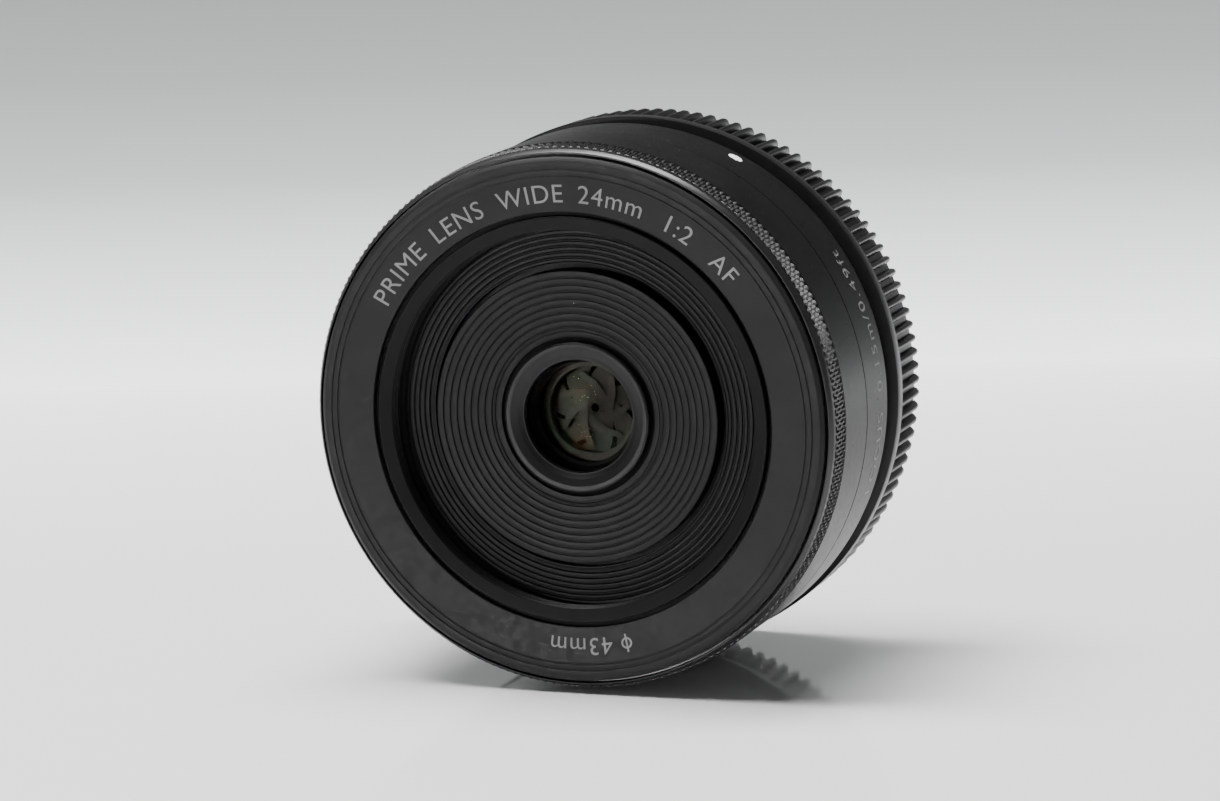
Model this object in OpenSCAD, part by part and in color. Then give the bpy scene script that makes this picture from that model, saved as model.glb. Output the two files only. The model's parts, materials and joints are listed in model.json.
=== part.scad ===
// Pancake prime lens, 22 mm class, lying on its side with its ribbed rear cap on.
// Origin: centre of the mount flange face, on the optical axis. The front looks along -Y and +Z is up.
// Every module below draws in lens coordinates, with the optical axis along z, the flange at z = 0 and
// the front at positive z. as_it_lies() turns that into the frame above.

/* [Barrel] */
// Largest outer diameter
barrel_d = 60.9; // [60.4:0.1:61.4]
// Length from the mount flange to the front face
body_len = 23.7; // [23.7:0.1:24.2]
// Height of the hairline seam between the fixed barrel and the focus ring
seam_z = 11.0; // [10:0.1:12]

/* [Name ring] */
// Bore that the inner barrel slides through
name_bore_d = 46.48; // [46.2:0.02:46.6]
// Outer diameter, inside the focus ring's front edge
name_ring_d = 58.56; // [58.3:0.02:58.7]
// Inner diameter of the first fine groove on the face
face_groove_d = 54.4; // [54:0.02:54.8]
// Inner diameter of the second fine groove, next to the outer bevel
edge_groove_d = 55.84; // [55.6:0.02:56]

/* [Focus ring] */
// Rear end of the knurled band
knurl_z = 19.3; // [19:0.1:19.4]
// Width of the knurled band
knurl_w = 2.7; // [2.2:0.1:2.7]
// Number of knurl teeth round the ring
knurl_teeth = 206; // [120:2:220]

/* [Inner barrel] */
// Outer diameter
inner_d = 45.4; // [45.2:0.02:45.6]
// Filter thread, nominal diameter
thread_d = 43; // [43:0.1:43.2]
// Filter thread, pitch
thread_pitch = 0.75; // [0.5:0.05:0.75]
// Forward travel from the parked position to the closest focus
focus_travel = 6; // [4:0.5:6]

/* [Front baffle] */
// Outer diameter of the ribbed disc
baffle_d = 32.88; // [32:0.02:33.2]
// Radial pitch of the main grooves
baffle_pitch = 0.795; // [0.7:0.005:0.8]

/* [Diaphragm] */
// Number of blades
blade_count = 7; // [7:1:7]
// Clear radius with the blades fully open
open_r = 4.7; // [4.5:0.1:4.8]
// Clear radius with the blades fully closed
closed_r = 0.45; // [0.4:0.05:0.8]

/* [Focus drive] */
// Turn of the cam ring over the whole travel, in degrees
cam_turn = 60; // [50:1:60]
// Gear tooth module
gear_m = 0.5; // [0.5:0.01:0.5]

/* [Mount] */
// Outer diameter of the bayonet spigot
spigot_d = 46.8; // [46.6:0.1:46.9]
// Reach of the spigot behind the flange
spigot_len = 5; // [4.5:0.1:5.5]
// Radius of the mount screw circle
mount_screw_r = 27.5; // [27.3:0.1:27.6]

/* [Rear cap] */
// Outer diameter over the front flange
cap_d = 61.5; // [61:0.1:62]
// Number of grip ribs
cap_ribs = 120; // [90:1:120]
// Rear face of the cap, behind the mount flange
cap_len = 11.2; // [10.5:0.1:12]

/* [Hidden] */

$fn = 96;
eps = 0.01;
running = 0.06;          // radial clearance of a running fit
barrel_r = barrel_d / 2;
name_bore_r = name_bore_d / 2;
name_ring_r = name_ring_d / 2;
inner_r = inner_d / 2;
face_z = body_len;

// Fixed structure
web_z = 2.1;             // rear of the ring that the mount screws bite into
web_top = 5.0;
web_r = 26.3;
sleeve_r = 28.95;        // journal of the focus ring
sleeve_bore_r = 27.9;
sleeve_top = face_z - 1.4;
plate_z = 1.2;           // rear of the base plate
plate_top = 2.6;
guide_r = 26.0;          // bore of the guide tube
guide_outer_r = 27.2;
cam_r = guide_r - running;
cam_bore_r = 24.3;
cam_z = 3.0;
cam_top = 19.5;

// Inner barrel and lens unit
barrel_rear = 6.6;
rim_z = face_z - 0.8;
thread_r = thread_d / 2 - 0.54 * thread_pitch;
thread_len = 2 * thread_pitch;
floor_z = face_z - 3.7;
floor_bottom = 18.9;
unit_plate_z = 17.6;
shoulder_z = 16.0;
unit_sleeve_r = 12.2;
cell_flange_z = 12.6;

// Diaphragm
pivot_r = 7.2;
blade_w = 1.8;
blade_t = 0.08;
blade_step = 0.12;
blade_z = 13.52;
tip_reach = 3.7;         // how far a closed blade's tip passes the axis
drive_arm = 1.9;
blade_pin_r = 0.35;
iris_ring_z = 12.85;
iris_ring_top = 13.4;
iris_plate_z = 14.5;
iris_plate_top = 15.1;
closed_shift = open_r - closed_r;
closed_angle = 2 * asin(closed_shift / (2 * pivot_r));
tip_angle = acos((closed_shift * closed_shift + open_r * open_r - tip_reach * tip_reach)
    / (2 * closed_shift * open_r));
blade_arc = acos(closed_shift / (2 * pivot_r)) + tip_angle;
iris_turn = atan(drive_arm * sin(closed_angle) / (pivot_r + drive_arm * cos(closed_angle)));
slot_r_closed = sqrt(pow(pivot_r + drive_arm * cos(closed_angle), 2)
    + pow(drive_arm * sin(closed_angle), 2));
iris_m = 0.3;
iris_teeth = 78;
iris_gear_teeth = 28;
iris_pitch_r = iris_m * iris_teeth / 2;
iris_motor_r = iris_pitch_r + iris_m * iris_gear_teeth / 2;
iris_motor_a = 250;

// Focus gear train: cam ring (internal) - idler - reduction gear - motor pinion
cam_teeth = 92;
idler_teeth = 20;
small_teeth = 10;
large_teeth = 18;
pinion_teeth = 10;
ring_gear_r = gear_m * cam_teeth / 2;
idler_r = ring_gear_r - gear_m * idler_teeth / 2;
idler_a = 150;
reduction_r = 16.7;
reduction_gap = gear_m * (idler_teeth + small_teeth) / 2;
reduction_a = idler_a - between(idler_r, reduction_r, reduction_gap);
motor_r = 17.0;
motor_gap = gear_m * (large_teeth + pinion_teeth) / 2;
motor_a = reduction_a - between(reduction_r, motor_r, motor_gap);
level_a = [3.0, 4.1];
level_b = [4.4, 5.2];
bracket_z = 5.4;
bracket_top = 6.0;
shaft_r = 0.4;
motor_shaft_r = 0.5;
follower_r = 0.8;
follower_z = 8.0;
follower_angles = [90, 210, 330];
slot_play = 0.1;

// Mount and cap
spigot_r = spigot_d / 2;
spigot_bore_r = 21.4;
flange_r = 28.9;
flange_t = 1.1;
lug_r = 25.1;
lug_span = 42;
mount_screw_angles = [20, 110, 200, 290];
cap_r = cap_d / 2;
cap_front = 0.3;

// Angle at the optical axis between two centres at radii r1 and r2 that lie a distance d apart
function between(r1, r2, d) = acos((r1 * r1 + r2 * r2 - d * d) / (2 * r1 * r2));
function polar(r, a) = [r * cos(a), r * sin(a)];
function direction(from, to) = atan2(to[1] - from[1], to[0] - from[0]);
// Rotation of a gear that meshes at direction `at` with one of n1 teeth turned by rot1
function meshed(rot1, n1, n2, at) = at + 180 + (at - rot1) * n1 / n2 + 180 / n2;
// Depth of a spherical cap of radius `curve` out to radius r
function sag(r, curve) = abs(curve) - sqrt(curve * curve - r * r);

module as_it_lies() {
    rotate([90, 0, 0])
        children();
}

module tube(bore_r, outer_r, z0, z1) {
    translate([0, 0, z0])
        difference() {
            cylinder(h = z1 - z0, r = outer_r);
            translate([0, 0, -1])
                cylinder(h = z1 - z0 + 2, r = bore_r);
        }
}

module rod(r, z0, z1) {
    translate([0, 0, z0])
        cylinder(h = z1 - z0, r = r);
}

module turned(points) {
    rotate_extrude()
        polygon(points);
}

module sector(r0, r1, z0, z1, a0, span) {
    rotate([0, 0, a0])
        rotate_extrude(angle = span)
            translate([r0, z0])
                square([r1 - r0, z1 - z0]);
}

module at_angles(angles, r = 0) {
    for (a = angles)
        rotate([0, 0, a])
            translate([r, 0, 0])
                children();
}

module screw(head_r, head_z, shank_r, tip_z) {
    low = min(head_z, tip_z);
    high = max(head_z, tip_z);
    head = 0.45;
    up = tip_z > head_z;
    rod(shank_r, up ? low + head - eps : low, up ? high : high - head + eps);
    difference() {
        rod(head_r, up ? low : high - head, up ? low + head : high);
        cross_slot(up ? low : high, head_r);
    }
}

module cross_slot(z, head_r) {
    for (a = [0, 90])
        rotate([0, 0, a])
            translate([-head_r * 0.6, -head_r * 0.12, z - 0.2])
                cube([head_r * 1.2, head_r * 0.24, 0.4]);
}

// Flat outline of a gear with one tooth centred on +x; side = 1 for external teeth, -1 for internal
module gear_outline(teeth, m, side = 1) {
    pitch_r = m * teeth / 2;
    tip_r = pitch_r + side * 0.85 * m;
    root_r = pitch_r - side * 1.1 * m;
    pitch = 360 / teeth;
    polygon([for (i = [0 : teeth - 1]) each [
        polar(root_r, (i - 0.32) * pitch), polar(tip_r, (i - 0.12) * pitch),
        polar(tip_r, (i + 0.12) * pitch), polar(root_r, (i + 0.32) * pitch)
    ]]);
}

module spur(teeth, m, z0, z1, turn) {
    translate([0, 0, z0])
        rotate([0, 0, turn])
            linear_extrude(z1 - z0)
                gear_outline(teeth, m);
}

// ---- Fixed structure -------------------------------------------------------------------------------

module name_ring() {
    depth = 0.12;
    rise = 0.4;
    a = face_groove_d / 2;
    b = edge_groove_d / 2;
    color("#26272a")
        turned([
            [name_bore_r, sleeve_top], [name_bore_r, face_z - rise], [a, face_z],
            [a, face_z - depth], [a + 0.24, face_z - depth], [a + 0.24, face_z],
            [b, face_z], [b, face_z - depth], [b + 0.2, face_z - depth], [b + 0.2, face_z],
            [name_ring_r - 0.43, face_z], [name_ring_r, face_z - 0.3], [name_ring_r, sleeve_top]
        ]);
}

sensor_angles = [200, 209];
sensor_box = [1.2, 3.0, 2.4];
sensor_z = 13.2;
dot_a = 62.8;
dot_z = 5.35;
dot_r = 0.85;

module fixed_barrel() {
    color("#202124")
        difference() {
            turned([
                [29.1, plate_z], [barrel_r - 0.6, plate_z], [barrel_r, 3.2], [barrel_r, seam_z],
                [sleeve_r, seam_z], [sleeve_r, sleeve_top], [sleeve_bore_r, sleeve_top],
                [sleeve_bore_r, web_top], [web_r, web_top], [web_r, web_z], [29.1, web_z]
            ]);
            at_angles(mount_screw_angles, mount_screw_r)
                rod(0.65, web_z - 1, 4.5);
            at_angles(sensor_angles, sleeve_bore_r - 1)
                translate([0, -sensor_box[1] / 2 - 0.05, sensor_z - 0.05])
                    cube([3, sensor_box[1] + 0.1, sensor_box[2] + 0.1]);
            index_pocket();
        }
}

module index_pocket() {
    rotate([0, 0, dot_a])
        translate([barrel_r - 0.3, 0, dot_z])
            rotate([0, 90, 0])
                cylinder(h = 1, r = dot_r);
}

module index_dot() {
    color("#f2f2f0")
        rotate([0, 0, dot_a])
            translate([barrel_r - 0.3, 0, dot_z])
                rotate([0, 90, 0])
                    cylinder(h = 0.31, r = dot_r);
}

module light_seal() {
    color("#0c0c0c")
        tube(inner_r + running, 24.8, sleeve_top - 0.7, sleeve_top);
}

module wave_washer() {
    color("#b9bcc0")
        tube(sleeve_r + 0.1, 30.1, seam_z, seam_z + 0.12);
}

module focus_sensors() {
    color("#101013")
        at_angles(sensor_angles, sleeve_r - sensor_box[0] - 0.1)
            translate([0, -sensor_box[1] / 2, sensor_z])
                cube(sensor_box);
}

module guide_tube() {
    slot_w = 2 * (follower_r + slot_play);
    z0 = follower_z - follower_r - 0.2;
    color("#3a3b3e")
        difference() {
            tube(guide_r, guide_outer_r, web_top, 20.5);
            at_angles(follower_angles, guide_r - 1)
                translate([0, -slot_w / 2, z0])
                    cube([4, slot_w, focus_travel + 2 * follower_r + 0.4]);
        }
}

module base_plate() {
    color("#2c2d30")
        difference() {
            turned([
                [unit_sleeve_r, plate_z], [28.8, plate_z], [28.8, web_z], [26.1, web_z],
                [26.1, plate_top], [unit_sleeve_r, plate_top]
            ]);
            at_angles(mount_screw_angles, mount_screw_r)
                rod(0.75, 0, 4);
            translate(concat(polar(idler_r, idler_a), 0))
                rod(shaft_r, 1.8, 4);
            translate(concat(polar(reduction_r, reduction_a), 0))
                rod(shaft_r, 1.8, 4);
            at_angles(post_angles, post_r)
                rod(0.45, 1.8, 4);
            at_angles(board_screw_angles, 15)
                rod(0.45, 1.6, 4);
        }
}

module bayonet_mount() {
    color("#c9cbce")
        difference() {
            union() {
                tube(spigot_bore_r, flange_r, 0, flange_t);
                tube(spigot_bore_r, spigot_r, -spigot_len, eps);
                for (i = [0 : 2])
                    sector(spigot_r - 0.3, lug_r, -4.5, -3.0, i * 120 - lug_span / 2, lug_span);
            }
            at_angles(mount_screw_angles, mount_screw_r) {
                rod(0.7, -1, 3);
                rod(1.2, -1, 0.5);
            }
            // Hole for the camera's lock pin
            at_angles([65], 25.6)
                rod(1.0, -1, 0.8);
        }
}

module mount_shim() {
    color("#d6c27a")
        difference() {
            tube(22.5, 28.6, flange_t, plate_z);
            at_angles(mount_screw_angles, mount_screw_r)
                rod(0.75, 0, 4);
        }
}

module mount_screws() {
    color("#8b8d92")
        at_angles(mount_screw_angles, mount_screw_r)
            screw(1.12, 0.03, 0.6, 4.3);
}

contact_count = 9;
contact_a = -118;
contact_pitch = 6.2;
contact_r = 19.6;

module contact_block() {
    span = contact_pitch * (contact_count + 1.6);
    color("#111113")
        difference() {
            sector(17.6, spigot_bore_r - 0.05, -4.4, -1.9, contact_a - contact_pitch * 1.3, span);
            for (i = [0 : contact_count - 1])
                rotate([0, 0, contact_a + i * contact_pitch])
                    translate([contact_r, 0, 0])
                        rod(0.6, -5, -1);
            at_angles(contact_screw_angles(), 18.4)
                rod(0.45, -5, -1);
        }
}

function contact_screw_angles() = [for (i = [0.5, 7.5]) contact_a + i * contact_pitch];

module contact_pins() {
    color("#d8b24a")
        for (i = [0 : contact_count - 1])
            rotate([0, 0, contact_a + i * contact_pitch])
                translate([contact_r, 0, 0])
                    rod(0.58, -4.6, -2.0);
}

module contact_screws() {
    color("#2a2a2c")
        at_angles(contact_screw_angles(), 18.4)
            screw(0.75, -4.85, 0.42, -1.95);
}

module rear_baffle() {
    color("#151517")
        turned([
            [11.3, -1.0], [12.0, -1.7], [spigot_bore_r - 0.05, -1.7], [spigot_bore_r - 0.05, -0.2],
            [20.6, -0.2], [20.6, -0.9], [12.2, -0.9], [11.6, -0.6], [11.3, -0.6]
        ]);
}

// ---- Board and focus drive on the base plate -------------------------------------------------------

board_a = 180;
board_span = 255;
board_screw_angles = [190, 290, 60];

module main_board() {
    color("#1d5a38")
        difference() {
            sector(13.4, 21.9, 2.7, 3.3, board_a, board_span);
            at_angles(board_screw_angles, 15)
                rod(0.5, 1, 5);
        }
}

module board_chips() {
    chip_angles = [212, 245, 272, 312, 340, 30];
    chip_sizes = [[4, 5, 0.8], [5.5, 5.5, 0.9], [2.5, 3, 0.7], [5, 4, 0.8], [2, 3.4, 1.0], [4, 4, 0.7]];
    color("#17181b")
        for (i = [0 : len(chip_angles) - 1])
            rotate([0, 0, chip_angles[i]])
                translate([18.2 - chip_sizes[i][0] / 2, -chip_sizes[i][1] / 2, 3.3])
                    cube(chip_sizes[i]);
}

module board_screws() {
    color("#8b8d92")
        at_angles(board_screw_angles, 15)
            screw(0.85, 3.75, 0.43, 1.7);
}

post_r = 15.2;
post_angles = [idler_a + 24, motor_a - 20];

module gear_bracket() {
    color("#4a4c50")
        difference() {
            union() {
                sector(13.4, 20.8, bracket_z, bracket_top, post_angles[1] - 5,
                    post_angles[0] - post_angles[1] + 10);
                at_angles(post_angles, post_r)
                    rod(1.1, plate_top, bracket_z + eps);
            }
            at_angles(post_angles, post_r)
                rod(0.45, 1, 7);
            translate(concat(polar(idler_r, idler_a), 0))
                rod(shaft_r, 1, 7);
            translate(concat(polar(reduction_r, reduction_a), 0))
                rod(shaft_r, 1, 7);
            translate(concat(polar(motor_r, motor_a), 0))
                rod(motor_shaft_r + running, 1, 7);
        }
}

module bracket_screws() {
    color("#8b8d92")
        at_angles(post_angles, post_r)
            screw(0.85, bracket_top + 0.45, 0.43, 1.85);
}

module gear_shafts() {
    color("#d0d2d6")
        for (p = [polar(idler_r, idler_a), polar(reduction_r, reduction_a)])
            translate(concat(p, 0))
                rod(shaft_r, 1.8, bracket_top);
}

module focus_motor() {
    can_r = 3.15;
    color("#7c7f86")
        translate(concat(polar(motor_r, motor_a), 0))
            difference() {
                union() {
                    rod(can_r, bracket_top, 11.2);
                    rod(can_r - 0.9, 11.2 - eps, 11.6);
                }
                rod(motor_shaft_r + running, 5, 10.5);
            }
}

idler_turn = idler_a;
reduction_turn = meshed(idler_turn, idler_teeth, small_teeth,
    direction(polar(idler_r, idler_a), polar(reduction_r, reduction_a)));
pinion_turn = meshed(reduction_turn, large_teeth, pinion_teeth,
    direction(polar(reduction_r, reduction_a), polar(motor_r, motor_a)));

module cam_ring() {
    half = (follower_r + slot_play) * sqrt(1 + pow(cam_r * cam_turn / focus_travel * PI / 180, 2))
        / cam_r * 180 / PI;
    margin = follower_r + 0.1;
    slot_h = focus_travel + 2 * margin;
    rate = cam_turn / focus_travel;
    gear_top = 4.2;
    color("#9a9da2")
        difference() {
            rod(cam_r, cam_z, cam_top);
            rod(cam_bore_r, gear_top, cam_top + 1);
            translate([0, 0, cam_z - 1])
                rotate([0, 0, idler_a + 180 / cam_teeth])
                    linear_extrude(gear_top - cam_z + 2)
                        gear_outline(cam_teeth, gear_m, -1);
            for (a = follower_angles)
                translate([0, 0, follower_z - margin])
                    rotate([0, 0, a + margin * rate])
                        linear_extrude(slot_h, twist = slot_h * rate, slices = 13, $fn = 16)
                            polygon([
                                for (s = [-1, 0, 1]) polar(cam_bore_r - 0.6, s * half),
                                for (s = [1, 0, -1]) polar(cam_r + 0.8, s * half)
                            ]);
        }
}

module idler_gear() {
    color("#c9b27c")
        translate(concat(polar(idler_r, idler_a), 0))
            difference() {
                spur(idler_teeth, gear_m, level_a[0], level_a[1], idler_turn);
                rod(shaft_r + running, 2, 6);
            }
}

module reduction_gear() {
    color("#e6e2d6")
        translate(concat(polar(reduction_r, reduction_a), 0))
            difference() {
                union() {
                    spur(small_teeth, gear_m, level_a[0], level_b[0] + eps, reduction_turn);
                    spur(large_teeth, gear_m, level_b[0], level_b[1], reduction_turn);
                }
                rod(shaft_r + running, 2, 6);
            }
}

module motor_pinion() {
    color("#c8a24e")
        translate(concat(polar(motor_r, motor_a), 0)) {
            spur(pinion_teeth, gear_m, level_b[0], level_b[1], pinion_turn);
            rod(motor_shaft_r, level_b[0], 10.3);
        }
}

// ---- Focus ring ------------------------------------------------------------------------------------

focus_bore_r = sleeve_r + 0.08;
scale_z = 12.9;
scale_h = 3.0;

module focus_ring() {
    knurl_top = knurl_z + knurl_w;
    lip_z = sleeve_top - 0.1;
    color("#2b2c2f") {
        difference() {
            turned([
                [focus_bore_r, seam_z + 0.16], [barrel_r, seam_z + 0.16], [barrel_r, knurl_z - 0.1],
                [barrel_r - 0.4, knurl_z], [barrel_r - 0.4, knurl_top + 0.1],
                [barrel_r - 0.32, knurl_top + 0.16], [barrel_r - 0.42, face_z - 1.15],
                [29.75, face_z - 0.6], [29.6, face_z - 0.6], [29.6, lip_z], [focus_bore_r, lip_z]
            ]);
            tube(focus_bore_r - 1, focus_bore_r + 0.34, scale_z, scale_z + scale_h);
        }
        translate([0, 0, knurl_z])
            linear_extrude(knurl_w)
                difference() {
                    polygon([for (i = [0 : 2 * knurl_teeth - 1])
                        polar(i % 2 == 0 ? barrel_r - 0.1 : barrel_r - 0.36, i * 180 / knurl_teeth)]);
                    circle(r = barrel_r - 0.5);
                }
    }
}

module focus_scale() {
    color("#c4c7cb")
        tube(focus_bore_r + 0.04, focus_bore_r + 0.34, scale_z, scale_z + scale_h);
}

// ---- Lens unit: slides forward to focus --------------------------------------------------------------

module inner_barrel() {
    floor_bore_r = 17.04;
    relief_r = thread_r + 0.41;
    thread_z = rim_z - thread_len - 0.05;
    color("#1b1c1e")
        difference() {
            turned([
                [floor_bore_r, floor_bottom], [21.9, floor_bottom], [21.9, barrel_rear],
                [inner_r, barrel_rear], [inner_r, face_z - 0.45], [inner_r - 0.06, face_z - 0.4],
                [thread_r + 0.15, rim_z + 0.05], [thread_r, rim_z - 0.05], [thread_r, thread_z],
                [relief_r, thread_z], [relief_r, floor_z],
                [17.3, floor_z], [17.16, floor_z + 0.12], [floor_bore_r, floor_z + 0.12]
            ]);
            // Thread grooves
            for (z = [thread_z + 0.3, thread_z + 0.3 + thread_pitch])
                turned([
                    [thread_r - 0.1, z - 0.08], [thread_r + 0.35, z + 0.15], [thread_r + 0.35, z + 0.2],
                    [thread_r - 0.1, z + 0.43]
                ]);
            // Anti-glare grooves on the floor
            for (r = [17.8 : 0.6 : 20.4])
                turned([
                    [r - 0.12, floor_z + eps], [r, floor_z - 0.18], [r + 0.12, floor_z + eps]
                ]);
            at_angles(follower_angles)
                translate([0, 0, follower_z])
                    rotate([0, 90, 0])
                        cylinder(h = 30, r = follower_r);
            at_angles(unit_screw_angles, 19.8)
                rod(0.5, floor_bottom - 1, 19.7);
        }
}

unit_screw_angles = [30, 150, 270];

module cam_followers() {
    color("#d8d9dc")
        at_angles(follower_angles)
            translate([21.9, 0, follower_z])
                rotate([0, 90, 0])
                    cylinder(h = 27.0 - 21.9, r = follower_r - 0.01);
}

module unit_base() {
    color("#242528")
        difference() {
            turned([
                [9.4, shoulder_z], [unit_sleeve_r, shoulder_z], [unit_sleeve_r, cell_flange_z],
                [14.2, cell_flange_z], [14.2, unit_plate_z], [21.85, unit_plate_z],
                [21.85, floor_bottom], [9.4, floor_bottom]
            ]);
            translate(concat(polar(iris_motor_r, iris_motor_a), 0)) {
                rod(4.7, 11, 13.7);
                rod(2.6, 13, unit_plate_z);
            }
            at_angles(unit_screw_angles, 19.8)
                rod(0.52, 17, 20);
            at_angles(cell_screw_angles, 13.2)
                rod(0.4, 12, 15.5);
        }
}

module unit_screws() {
    color("#8b8d92")
        at_angles(unit_screw_angles, 19.8)
            screw(0.95, unit_plate_z - 0.45, 0.48, 19.6);
}

cell_screw_angles = [10, 130, 190];

module front_baffle() {
    r_out = baffle_d / 2;
    r_in = 8.95;
    land_r = 15.84;
    z_in = face_z - 3.0;
    z_out = face_z - 2.4;
    main = [for (k = [0 : 6]) 10.84 + k * baffle_pitch];
    fine = [9.64, 10.03];
    color("#1d1e20")
        difference() {
            turned([
                [r_in, 20.35], [15.3, 20.35], [15.3, floor_bottom], [r_out, floor_bottom],
                [r_out, z_out - 0.12], [r_out - 0.12, z_out], [land_r, z_out], [r_in, z_in]
            ]);
            for (r = concat(fine, main))
                ring_groove(r, z_in + (z_out - z_in) * (r - r_in) / (land_r - r_in));
        }
}

module ring_groove(r, z) {
    turned([
        [r - 0.2, z + 0.05], [r - 0.1, z - 0.22], [r + 0.08, z - 0.22], [r + 0.12, z + 0.05]
    ]);
}

module front_retainer() {
    lip_r = 6.36;
    color("#3c3d40")
        turned([
            [lip_r, 19.65], [7.3, 19.45], [7.85, 19.45], [7.85, 20.32], [8.4, 20.32], [8.4, face_z - 2.48],
            [8.3, face_z - 2.4], [8.0, face_z - 2.42], [6.6, face_z - 2.95], [lip_r, face_z - 3.2]
        ]);
}

module front_cell() {
    color("#161618")
        difference() {
            turned([
                [5.62, 15.15], [12.1, 15.15], [12.1, shoulder_z], [9.3, shoulder_z], [9.3, 20.3],
                [7.9, 20.3], [7.9, 19.42], [7.34, 19.42], [7.34, 17.3], [5.62, 17.3]
            ]);
            at_angles(cell_pin_angles, 11.3)
                rod(0.4, 14, 17);
        }
}

cell_pin_angles = [25, 145, 265];

module cell_screws() {
    color("#8b8d92")
        at_angles(cell_pin_angles, 11.3)
            rod(0.38, iris_plate_z, shoulder_z);
}

module spacer_ring() {
    color("#0e0e0f")
        turned([[6.0, 17.32], [7.32, 17.32], [7.32, 17.6], [6.5, 17.6]]);
}

module rear_cell() {
    color("#1a1b1d")
        difference() {
            turned([
                [4.94, 10.4], [4.94, cell_flange_z], [6.9, cell_flange_z], [6.9, 13.3], [7.84, 13.3],
                [7.84, cell_flange_z], [14.2, cell_flange_z], [14.2, 11.7], [8.8, 11.7], [8.8, 6.2],
                [10.6, 5.6], [10.6, -0.6], [9.95, -0.6], [9.95, 1.42], [9.44, 1.42], [9.44, 3.6],
                [7.44, 5.2], [7.44, 8.4], [6.24, 8.9], [6.24, 10.4]
            ]);
            at_angles(cell_screw_angles, 13.2)
                rod(0.45, 11, 14);
        }
}

module rear_cell_screws() {
    color("#8b8d92")
        at_angles(cell_screw_angles, 13.2)
            screw(0.8, 11.25, 0.38, 15.2);
}

module rear_retainer() {
    color("#131315")
        turned([[8.3, -0.6], [9.9, -0.6], [9.9, 1.4], [9.35, 1.4], [8.8, 0.3], [8.3, 0.1]]);
}

// A lens element: rim radius, front and rear vertex, front and rear curve (positive bulges outwards)
module element(rim_r, front_z, rear_z, front_curve, rear_curve) {
    $fn = 320;           // the shallow caps need fine spheres
    top = front_z + (front_curve < 0 ? sag(rim_r, front_curve) : 0);
    bottom = rear_z - (rear_curve < 0 ? sag(rim_r, rear_curve) : 0);
    color("#9fb6c4", 0.35)
        difference() {
            intersection() {
                rod(rim_r, bottom, top);
                if (front_curve > 0)
                    translate([0, 0, front_z - front_curve])
                        sphere(r = front_curve);
                if (rear_curve > 0)
                    translate([0, 0, rear_z + rear_curve])
                        sphere(r = rear_curve);
            }
            if (front_curve < 0)
                translate([0, 0, front_z - front_curve])
                    sphere(r = -front_curve);
            if (rear_curve < 0)
                translate([0, 0, rear_z + rear_curve])
                    sphere(r = -rear_curve);
        }
}

module lens_1() {
    element(7.3, 20.05, 18.9, 40, -22);
}

module lens_2() {
    element(5.6, 18.1, 16.6, 18, 60);
}

module lens_3() {
    element(5.6, 16.6 - eps, 15.95, -60, -24);
}

module lens_4() {
    element(4.9, 12.1, 11.3, -14, -16);
}

module lens_5() {
    element(6.2, 10.9, 7.6, 18, 14);
}

module lens_6() {
    element(7.4, 6.9, 5.4, -30, 22);
}

module lens_7() {
    element(9.4, 4.4, 0.8, 30, 60);
}

// ---- Diaphragm ---------------------------------------------------------------------------------------

blade_angles = [for (i = [0 : blade_count - 1]) i * 360 / blade_count];

module iris_base() {
    color("#202123")
        difference() {
            tube(open_r + 0.1, unit_sleeve_r - 0.05, iris_plate_z, iris_plate_top);
            at_angles(blade_angles, pivot_r)
                rod(blade_pin_r + running, 14, 16);
            at_angles(cell_pin_angles, 11.3)
                rod(0.4, 14, 16);
        }
}

module iris_ring() {
    slot_w = 2 * (blade_pin_r + 0.06);
    low = min(slot_r_closed, pivot_r + drive_arm);
    high = max(slot_r_closed, pivot_r + drive_arm);
    sector_span = 40;
    color("#33353a")
        difference() {
            union() {
                tube(7.9, 11.0, iris_ring_z, iris_ring_top);
                intersection() {
                    spur(iris_teeth, iris_m, iris_ring_z, iris_ring_top, iris_motor_a);
                    sector(10.5, 13, iris_ring_z - 1, iris_ring_top + 1, iris_motor_a - sector_span / 2,
                        sector_span);
                }
            }
            for (a = blade_angles)
                rotate([0, 0, a + iris_turn])
                    translate([0, 0, iris_ring_z - 1])
                        linear_extrude(3) {
                            translate([low, 0])
                                circle(r = slot_w / 2);
                            translate([high, 0])
                                circle(r = slot_w / 2);
                            translate([low, -slot_w / 2])
                                square([high - low, slot_w]);
                        }
        }
}

module iris_motor() {
    color("#6d7077")
        translate(concat(polar(iris_motor_r, iris_motor_a), 0))
            difference() {
                rod(2.4, 13.9, unit_plate_z);
                rod(0.4 + running, 13, 17);
            }
}

module iris_gear() {
    color("#d9d5c8")
        translate(concat(polar(iris_motor_r, iris_motor_a), 0)) {
            spur(iris_gear_teeth, iris_m, iris_ring_z, iris_ring_top,
                meshed(iris_motor_a, iris_teeth, iris_gear_teeth, iris_motor_a));
            rod(0.4, iris_ring_top - eps, 16.8);
        }
}

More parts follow.
